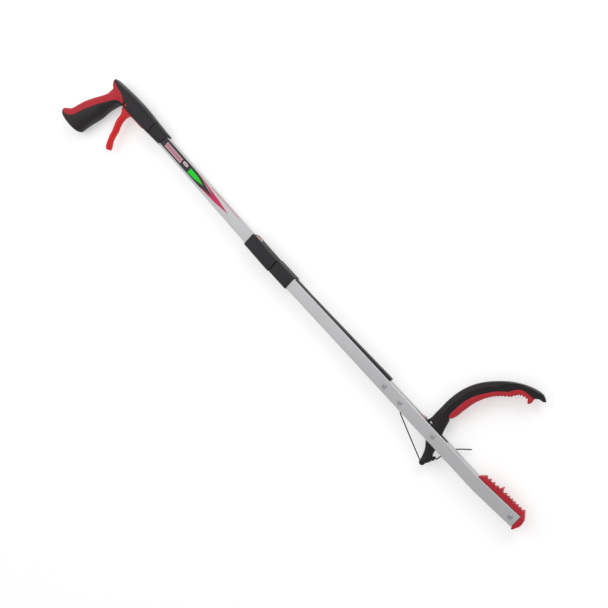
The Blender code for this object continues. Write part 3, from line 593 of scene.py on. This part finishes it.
# --- printed decal ---
def build_decal():
    """Plain shapes: a dark field, a band of blocks, a pill, an arrow and a chevron."""
    front = 6.02
    pieces = [("field", FILM_BLACK, 0.0, [(-262.0, -5.4), (-200.0, -4.9), (-163.0, -4.5),
                                         (-132.5, 0.3), (-176.0, 7.7), (-262.0, 7.9)]),
              ("arrow", FILM_GREEN, 0.03, [(-189.8, 4.4), (-190.2, -3.1), (-175.0, -2.2),
                                          (-157.6, 0.9), (-172.0, 4.0)]),
              ("chevron", FILM_CRIMSON, 0.03, [(-179.0, 7.75), (-160.0, 7.1), (-128.0, 4.4),
                                              (-99.4, 0.9), (-127.0, -2.6), (-164.0, -4.55),
                                              (-150.0, -2.2), (-133.2, 0.35), (-150.0, 4.0)])]
    pill = squircle((-200.4, 2.6), (5.2, 2.2), 3.0, 32)
    pieces += [("pill", PRINT_AND_HIGHLIGHT_WHITE, 0.03, pill),
               ("pill_bar", FILM_CRIMSON, 0.05, [(-203.2, 2.0), (-197.6, 1.9), (-197.6, 3.3),
                                                (-203.2, 3.4)])]
    blocks = 8
    pitch = 38.0 / blocks
    for k in range(blocks):
        start = -246.0 + pitch * k
        drop = 0.13 * k / blocks
        pieces.append((f"block_{k}", FILM_PALE, 0.03,
                       [(start, -2.9 + drop), (start + pitch - 0.8, -2.9 + drop),
                        (start + pitch - 0.8, 4.6 - drop), (start, 4.6 - drop)]))
        pieces.append((f"core_{k}", FILM_CRIMSON, 0.05,
                       [(start + 1.2, -1.2), (start + pitch - 2.0, -1.2),
                        (start + pitch - 2.0, 3.0), (start + 1.2, 3.0)]))
    main = None
    for name, colour, rise, outline in pieces:
        obj = plate(f"decal_{name}", outline, front, front + 0.02 + rise, HANDLE, [colour])
        finish(obj, "handle", "decal")
        main = main or obj
    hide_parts("decal_label")
    stripe = rounded_box("decal_stripe", (-146.0, 8.01, 2.2), (-84.0, 8.06, 4.9), HANDLE,
                         [FILM_CRIMSON], 0.0)
    finish(stripe, "handle", "decal")


# --- sleeve, fold pin, button ---
FOLD = (0.6, -10.2)
BUTTON = (-43.3, -1.5)


def knuckle(start, end, radius, name="knuckle"):
    """A rod on the fold axis, used as a knuckle or as the room for one. It has no bore."""
    edge = 0.3
    profile = [(radius - edge, start), (radius, start + edge), (radius, end - edge),
               (radius - edge, end)]
    return turned(name, profile, (FOLD[0], 0.0, FOLD[1]), (0, 1, 0), LOWER, (), 40)


def build_sleeve():
    upper = rounded_box("sleeve_upper", (-52.1, -9.7, -10.2), (0.2, 9.7, 7.4), HANDLE,
                        [SLEEVE_BLACK], 1.3, 5)
    lower = rounded_box("sleeve_lower", (1.0, -9.7, -10.2), (35.1, 9.7, 7.4), LOWER,
                        [SLEEVE_BLACK], 1.3, 5)
    cuts = [rounded_box("socket", (-60.0, -8.25, -6.25), (-11.7, 8.25, 6.25), HANDLE, (), 0.0),
            rounded_box("pocket", (-12.5, -3.0, -7.4), (-3.0, 7.4, 4.0), HANDLE, (), 0.0),
            rounded_box("latch_way", (-4.0, 1.5, -2.9), (2.0, 5.2, 0.6), HANDLE, (), 0.0),
            rounded_box("cord_way", (-4.0, -1.3, -7.5), (2.0, 1.3, -4.8), HANDLE, (), 0.0),
            knuckle(-3.5, 3.5, 3.0)]
    hole = squircle(BUTTON, (6.6, 3.4), 2.3, 48)
    rings = [[(x, y, z) for x, z in hole] for y in (5.0, 12.0)]
    cuts.append(mesh_object("button_hole", skin(rings), HANDLE))
    combine(upper, cuts)
    combine(lower, [
        rounded_box("socket", (11.7, -8.55, -6.25), (60.0, 8.55, 6.25), LOWER, (), 0.0),
        rounded_box("pocket", (3.0, -3.0, -7.4), (12.5, 3.0, 4.0), LOWER, (), 0.0),
        rounded_box("latch_pocket", (-2.0, 0.3, -4.4), (7.4, 4.4, 3.4), LOWER, (), 0.0),
        rounded_box("cord_way", (-2.0, -2.5, -7.5), (4.0, 0.3, -4.8), LOWER, (), 0.0),
        knuckle(-12.0, -3.2, 3.0), knuckle(3.2, 12.0, 3.0)])
    combine(upper, [knuckle(-8.8, -3.6, 2.55), knuckle(3.6, 8.8, 2.55)], 'UNION')
    combine(lower, [knuckle(-3.1, 3.1, 2.55)], 'UNION')
    finish(upper, "handle", "sleeve_black", "hinge_housing_upper")
    finish(lower, "lower_half", "sleeve_black", "hinge_housing_lower")

    # The button is red. The pale ring round it is a painted highlight where its rounded rim catches
    # the light.
    ring = [[(x, y, z) for x, z in squircle(BUTTON, (6.2 + grow, 3.0 + grow), 2.3, 48)]
            for y, grow in ((5.1, -0.1), (9.7, -0.1), (10.1, -0.4), (10.15, -0.8), (9.8, -1.1),
                            (9.8, -2.6))]
    highlight_ring = mesh_object("button_highlight_ring", skin(ring), HANDLE, [PRINT_AND_HIGHLIGHT_WHITE], 50.0)
    finish(highlight_ring, "button", "trigger_red", "fold_button")
    crown = [[(x, y, z) for x, z in squircle(BUTTON, (4.9 + grow, 1.7 + grow), 2.3, 48)]
             for y, grow in ((9.7, 0.0), (10.0, -0.05), (10.2, -0.5), (10.25, -1.2))]
    centre = mesh_object("button_centre", skin(crown), HANDLE, [TRIGGER_RED], 50.0)
    finish(centre, "button", "trigger_red")


# --- jaw, pad and fixed insert ---
# Jaw sections: outer x, outer y, inner x, inner y, half thickness, place of the side's crease.
JAW = ((362.4, 127.0, 362.1, 126.3, 1.6, -0.9), (358.4, 129.8, 359.8, 124.6, 3.6, -0.9),
       (353.5, 131.2, 354.8, 123.4, 5.0, -0.9), (346.0, 130.0, 350.2, 119.8, 6.0, -0.9),
       (337.0, 126.7, 341.2, 118.6, 6.3, -0.9), (326.5, 120.9, 332.9, 115.8, 6.4, -0.82),
       (316.8, 113.5, 328.4, 110.2, 6.4, -0.5), (305.8, 102.2, 321.0, 99.9, 6.4, 0.0),
       (297.2, 91.0, 312.6, 89.8, 6.4, -0.05), (291.2, 80.2, 305.6, 78.0, 6.4, -0.05),
       (286.9, 68.0, 301.2, 66.8, 6.4, -0.05), (284.7, 56.0, 298.9, 55.9, 6.4, 0.0),
       (283.9, 44.0, 298.3, 45.0, 6.4, 0.0), (284.2, 33.0, 299.0, 35.6, 6.4, 0.0),
       (284.3, 24.0, 302.6, 28.5, 5.6, 0.0), (284.6, 16.5, 305.8, 17.5, 4.3, 0.0),
       (283.9, 11.5, 308.8, 9.5, 4.3, 0.0), (285.4, 6.0, 311.4, 4.0, 4.3, 0.0),
       (291.0, -1.5, 313.8, -3.0, 4.3, 0.0), (299.0, -8.8, 316.0, -9.6, 4.3, 0.0),
       (304.0, -14.2, 317.4, -14.4, 4.3, 0.0), (306.4, -17.8, 320.2, -18.0, 4.2, 0.0),
       (308.0, -21.2, 321.6, -22.0, 4.0, 0.0), (309.7, -25.6, 320.4, -26.2, 3.8, 0.0),
       (310.7, -29.0, 318.9, -28.8, 4.2, 0.0), (311.1, -31.6, 319.0, -31.2, 4.3, 0.0),
       (312.6, -33.9, 317.9, -33.5, 3.2, 0.0), (314.4, -34.9, 316.0, -34.9, 1.4, 0.0))
CREASE = 0.20
BEAD = 1.0
WEB = ((350.2, 124.0), (338.0, 123.6), (329.0, 119.4), (324.0, 112.0), (316.0, 104.0),
       (308.0, 95.0), (302.0, 86.0), (296.0, 73.0), (293.4, 60.0), (293.0, 44.0), (294.0, 33.4),
       (299.6, 34.2), (298.8, 49.0), (300.4, 62.6), (304.6, 75.0), (309.8, 84.2), (315.6, 93.4),
       (321.4, 99.8), (326.6, 104.8), (329.4, 110.4), (333.6, 115.6), (339.0, 118.0),
       (350.6, 119.2))
WEB_HALF = 5.3
SPRING_EYE = (289.2, 10.8)
PAD_BACK = ((350.6, 120.3), (338.4, 119.1), (332.9, 116.6), (328.4, 110.9), (325.6, 105.3),
            (320.5, 100.5), (314.8, 94.2), (309.0, 84.8), (303.7, 75.4), (299.5, 63.4),
            (297.9, 49.1), (297.9, 36.2), (299.0, 33.0), (300.8, 31.4))
PAD_FRONT = ((302.0, 33.0), (303.9, 41.0), (304.7, 50.0), (306.6, 64.0), (310.6, 77.0),
             (315.6, 86.6), (322.4, 95.2), (331.2, 103.8), (333.8, 109.2), (337.4, 112.6),
             (342.6, 114.6), (345.9, 114.9))
PAD_HALF = 6.3
TOOTH_PITCH = 3.7
TOOTH_RISE = 0.95


def jaw_ring(outer, inner, half, crease, count=41):
    """A section that slopes away on both sides of a fine bead, with rounded edges."""
    middle = (outer + inner) / 2
    across = (inner - outer) / 2
    top = []
    for k in range(count):
        u = -math.cos(math.pi * k / (count - 1))
        slope = (u - crease) / (1.0 - crease) if u > crease else (crease - u) / (1.0 + crease)
        z = half * (1.0 - CREASE * slope) * math.sqrt(max(0.0, 1.0 - abs(u) ** 6))
        z += BEAD * math.exp(-((u - crease) / 0.075) ** 2) * (1.0 - abs(u) ** 6)
        top.append((middle.x + across.x * u, middle.y + across.y * u, z))
    return top + [(x, y, -z) for x, y, z in top[-2:0:-1]]


def build_jaw():
    rings = []
    for k in range(len(JAW) - 1):
        for j in range(4):
            t = j / 4
            row = []
            for columns in ((0, 1, 4), (2, 3, 5)):
                points = [Vector([section[c] for c in columns]) for section in JAW]
                b, c = points[k], points[k + 1]
                a = points[k - 1] if k else 2 * b - c
                d = points[k + 2] if k + 2 < len(points) else 2 * c - b
                row.append(0.5 * (2 * b + (c - a) * t + (2 * a - 5 * b + 4 * c - d) * t * t
                                  + (3 * b - a - 3 * c + d) * t ** 3))
            outer, inner = row
            rings.append(jaw_ring(outer.xy, inner.xy, outer.z, max(-0.92, min(0.5, inner.z))))
    ox, oy, ix, iy, half, crease = JAW[-1]
    rings.append(jaw_ring(Vector((ox, oy)), Vector((ix, iy)), half, crease))
    jaw = mesh_object("hooked_jaw", skin(rings), LOWER, [JAW_BLACK], 45.0)
    nub = turned("nub", ((0.9, -3.2), (2.0, -2.2), (2.2, 0.0), (1.9, 2.2), (1.0, 3.4)),
                 (321.2, -17.6, 0.0), (0.1, 1.0, 0.0), LOWER, (), 32)
    # The web is 0.3 mm wider than the tube's inside on each side, and sinks into its walls.
    web = plate("web", WEB, -WEB_HALF, WEB_HALF, LOWER, ())
    combine(jaw, [nub, web], 'UNION')
    cuts = [turned("eye", ((1.9, -9.0), (1.9, 9.0)), (*SPRING_EYE, 0.0), (0, 0, 1), LOWER),
            turned("eye", ((1.9, -9.0), (1.9, 9.0)), (302.4, 2.0, 0.0), (0, 0, 1), LOWER),
            turned("dimple", ((0.5, 2.6), (1.1, 6.0)), (314.6, -30.2, 0.0), (0, 0, 1), LOWER)]
    for low, high in ((1.7, 9.0), (-9.0, -1.7)):
        cuts.append(turned("eye_step", ((4.3, low), (4.3, high)), (*SPRING_EYE, 0.0),
                           (0, 0, 1), LOWER))
    combine(jaw, cuts)
    jaw.data.set_sharp_from_angle(angle=math.radians(40.0))
    finish(jaw, "jaw", "jaw_black", "jaw_arm")


def build_pad():
    """Small even teeth along the jaw's inner side, ending in a hooked tip."""
    line = smooth_line([(*p, 0.0) for p in PAD_FRONT], TOOTH_PITCH / 2)
    front = []
    for k, point in enumerate(line):
        ahead = line[min(k + 1, len(line) - 1)] - line[max(k - 1, 0)]
        normal = Vector((ahead.y, -ahead.x, 0.0)).normalized()
        shifted = point + normal * (TOOTH_RISE if k % 2 else -TOOTH_RISE)
        front.append((shifted.x, shifted.y))
    front += [(348.3, 112.6), (350.2, 111.2), (351.9, 114.0), (351.4, 116.6), (351.2, 118.9)]
    back = [(p.x, p.y) for p in smooth_line([(*p, 0.0) for p in PAD_BACK], 3.0)]
    pad = plate("toothed_pad", front + back, -PAD_HALF, PAD_HALF, LOWER, [PAD_RED], 0.25, 2)
    finish(pad, "jaw", "pad_red", "jaw_pad")


def build_insert():
    """Red insert in the tube's end: a toothed crown on the tube and a cap over its end."""
    crown = [(371.8, 10.1), (377.9, 16.8)]
    for k in range(3):
        x = 380.6 + 5.5 * k
        crown += [(x, 13.9 + 0.4 * k), (x + 3.1, 17.5 + 0.3 * k)]
    crown += [(396.9, 16.0), (398.4, 18.8), (400.2, 23.2), (401.8, 18.2), (404.0, 16.4)]
    for k in range(6):
        x = 405.0 + 4.35 * k
        crown += [(x + 2.3, 19.6 + 0.15 * k), (x + 3.6, 16.9 + 0.25 * k)]
    crown += [(433.9, 21.4), (441.6, 12.6), (442.5, 8.0), (442.3, 4.6), (439.4, -3.6),
              (437.6, -3.9), (436.9, -2.6), (435.3, 14.7), (379.0, 10.2)]
    piece = plate("toothed_insert", crown, -5.85, 5.85, LOWER, [PAD_RED], 0.18, 2)
    core = [(374.0, -5.2), (383.0, -5.2), (438.0, -1.0), (437.6, 12.0), (433.0, 16.2),
            (374.8, 12.0)]
    combine(piece, [plate("core", core, -4.7, 4.7, LOWER, ())], 'UNION')
    x, y = RIVETS["end_rivet"]
    combine(piece, [turned("hole", ((1.9, -9.0), (1.9, 9.0)), (x, y, 0.0), (0, 0, 1), LOWER)])
    piece.data.set_sharp_from_angle(angle=math.radians(35.0))
    finish(piece, "lower_half", "pad_red", "fixed_jaw_insert")


# --- spring and cords ---
CORD_OUTSIDE = ((251.8, -8.0, -1.6), (256.0, -10.5, -0.9), (262.0, -12.9, -0.7),
                (276.0, -18.2, -0.4), (292.0, -24.2, -0.2), (310.9, -31.2, 0.0))
CORD_TAIL = ((323.6, -17.4, -4.6), (324.4, -14.4, -6.2), (324.6, -11.0, -7.3), (325.4, -5.0, -7.5),
             (327.2, 1.2, -7.5), (330.2, 7.6, -7.5), (334.6, 13.2, -7.4), (339.4, 18.4, -7.3),
             (343.9, 23.1, -7.2))
CORD_RADIUS = 0.78
ARM_PIN = (-299.3, -8.6)
CORD_POST = (-293.9, -1.5)


def build_spring():
    """The return spring with its hook, and the plated tongue over it."""
    start, end = Vector((252.8, 4.0, 0.0)), Vector((270.5, 6.0, 0.0))
    turns, steps = 11, 14
    points = []
    for k in range(turns * steps + 1):
        angle = 2 * math.pi * k / steps
        centre = start.lerp(end, k / (turns * steps))
        points.append(centre + Vector((0.0, 1.9 * math.cos(angle), 1.9 * math.sin(angle))))
    hook = [(272.5, 7.0, 0.0), (277.0, 8.4, 0.0), (282.6, 10.4, 0.0), (285.0, 12.9, 0.0),
            (287.4, 13.4, 0.0), (289.4, 12.2, 0.0), (289.7, 10.6, 0.0), (289.0, 9.6, 0.0)]
    spring = tube("return_coil", points + smooth_line(hook, 0.8), 0.4, LOWER, [STEEL], 8)
    tongue = plate("spring_tongue", [(270.2, 4.4), (269.2, 8.6), (271.6, 9.5), (280.9, 12.0),
                                     (282.3, 11.0), (281.6, 8.6), (275.0, 5.6)], -1.3, 1.3,
                   LOWER, [PLATED], 0.3, 2)
    for piece in (spring, tongue):
        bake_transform(piece)
    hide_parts("return_spring")


def build_button_coil():
    """The spring under the button."""
    turns, steps, low, high = 4, 14, -6.4, 2.8
    points = []
    for k in range(turns * steps + 1):
        angle = 2 * math.pi * k / steps
        points.append((BUTTON[0] + 1.7 * math.cos(angle), low + (high - low) * k / (turns * steps),
                       -1.2 + 1.7 * math.sin(angle)))
    coil = tube("button_coil", points, 0.3, HANDLE, [STEEL], 8)
    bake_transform(coil)
    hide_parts("button_spring")


def build_cords():
    """The free tail, the cord outside at the jaw, and the bight between the handle's post and
    the pin on the trigger's arm."""
    tail = smooth_line(CORD_TAIL, 1.2)
    piece = tube("cord_free_tail", tail, CORD_RADIUS, LOWER, [CORD])
    finish(piece, "jaw", "cord", "cord_tail")

    outside = tube("cord_outside", smooth_line(CORD_OUTSIDE, 1.2), CORD_RADIUS, LOWER, [CORD])
    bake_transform(outside)
    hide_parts("pull_cord_outer")

    post_turn, pin_turn = CORD_RADIUS + 1.95, CORD_RADIUS + 1.5
    route = [(-291.0, CORD_POST[1] + post_turn, -2.0)]
    for degrees in range(90, 181, 15):
        angle = math.radians(degrees)
        route.append((CORD_POST[0] + post_turn * math.cos(angle),
                      CORD_POST[1] + post_turn * math.sin(angle), 0.0))
    route += [(-297.1, -3.0, 0.0), (-297.1, -5.5, 0.0)]
    for degrees in range(0, -181, -20):
        angle = math.radians(degrees)
        route.append((ARM_PIN[0] + pin_turn * math.cos(angle),
                      ARM_PIN[1] + pin_turn * math.sin(angle), 0.0))
    route += [(-302.0, -5.0, 0.0), (-302.4, -1.0, 0.0), (-302.6, 2.3, 0.0)]
    bight = tube("cord_bight", route, CORD_RADIUS, HANDLE, [CORD])
    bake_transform(bight)
    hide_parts("pull_cord_bight")


# --- carried-over CAD nodes, stage and light ---
def dress_cad_nodes():
    """Materials for the CAD nodes that no piece replaces."""
    looks = {"steel": STEEL, "cord": CORD, "sleeve_black": SLEEVE_BLACK}
    slots = {s["node"]: s["material_slot"] for s in frame["record"]["subparts"]}
    for name, obj in frame["nodes"].items():
        if slots[name] in looks and not obj.hide_render:
            obj.data.materials.clear()
            obj.data.materials.append(looks[slots[name]])


FLOOR_SHADE = (0.66, 0.66, 0.66)
FLOOR_GLOW = 0.42
WORLD_SHADE = 0.66


def build_stage():
    """A plain pale floor that glows a little, so that it comes out near white."""
    bm = bmesh.new()
    bmesh.ops.create_grid(bm, x_segments=1, y_segments=1, size=6.0)
    white, tree, shader = new_material("studio_floor", FLOOR_SHADE, 0.9)
    vary_colour(tree, shader, FLOOR_SHADE, noise(tree, 2.0), 0.01)
    shader.inputs["Emission Color"].default_value = (1.0, 1.0, 1.0, 1.0)
    shader.inputs["Emission Strength"].default_value = FLOOR_GLOW
    floor = mesh_object("studio_floor", bm, Matrix.Identity(4), [white])
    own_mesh(floor)


def add_light(name, place, aim, size, power):
    light = bpy.data.objects.new(name, bpy.data.lights.new(name, 'AREA'))
    light.data.shape = 'DISK'
    light.data.size = size
    light.data.energy = power
    light.location = place
    light.rotation_euler = (Vector(aim) - Vector(place)).to_track_quat('-Z', 'Y').to_euler()
    bpy.context.scene.collection.objects.link(light)


def build_light():
    world = bpy.data.worlds.new("studio")
    world.use_nodes = True
    world.node_tree.nodes["Background"].inputs["Color"].default_value = (1.0, 1.0, 1.0, 1.0)
    world.node_tree.nodes["Background"].inputs["Strength"].default_value = WORLD_SHADE
    bpy.context.scene.world = world
    add_light("key", (-1.1, -0.1, 1.3), (-0.2, 0.0, 0.0), 2.2, 8.0)
    add_light("fill", (0.0, 1.4, 0.9), (0.0, 0.0, 0.0), 1.0, 9.0)
    bpy.context.scene.view_settings.view_transform = 'Standard'
    bpy.context.scene.view_settings.look = 'None'


add_camera()
build_cords()
build_spring()
build_button_coil()
build_casing()
build_trigger()
build_upper_tube()
build_lower_tube()
build_rivets()
build_strip()
build_decal()
build_sleeve()
build_jaw()
build_pad()
build_insert()
dress_cad_nodes()
build_stage()
build_light()
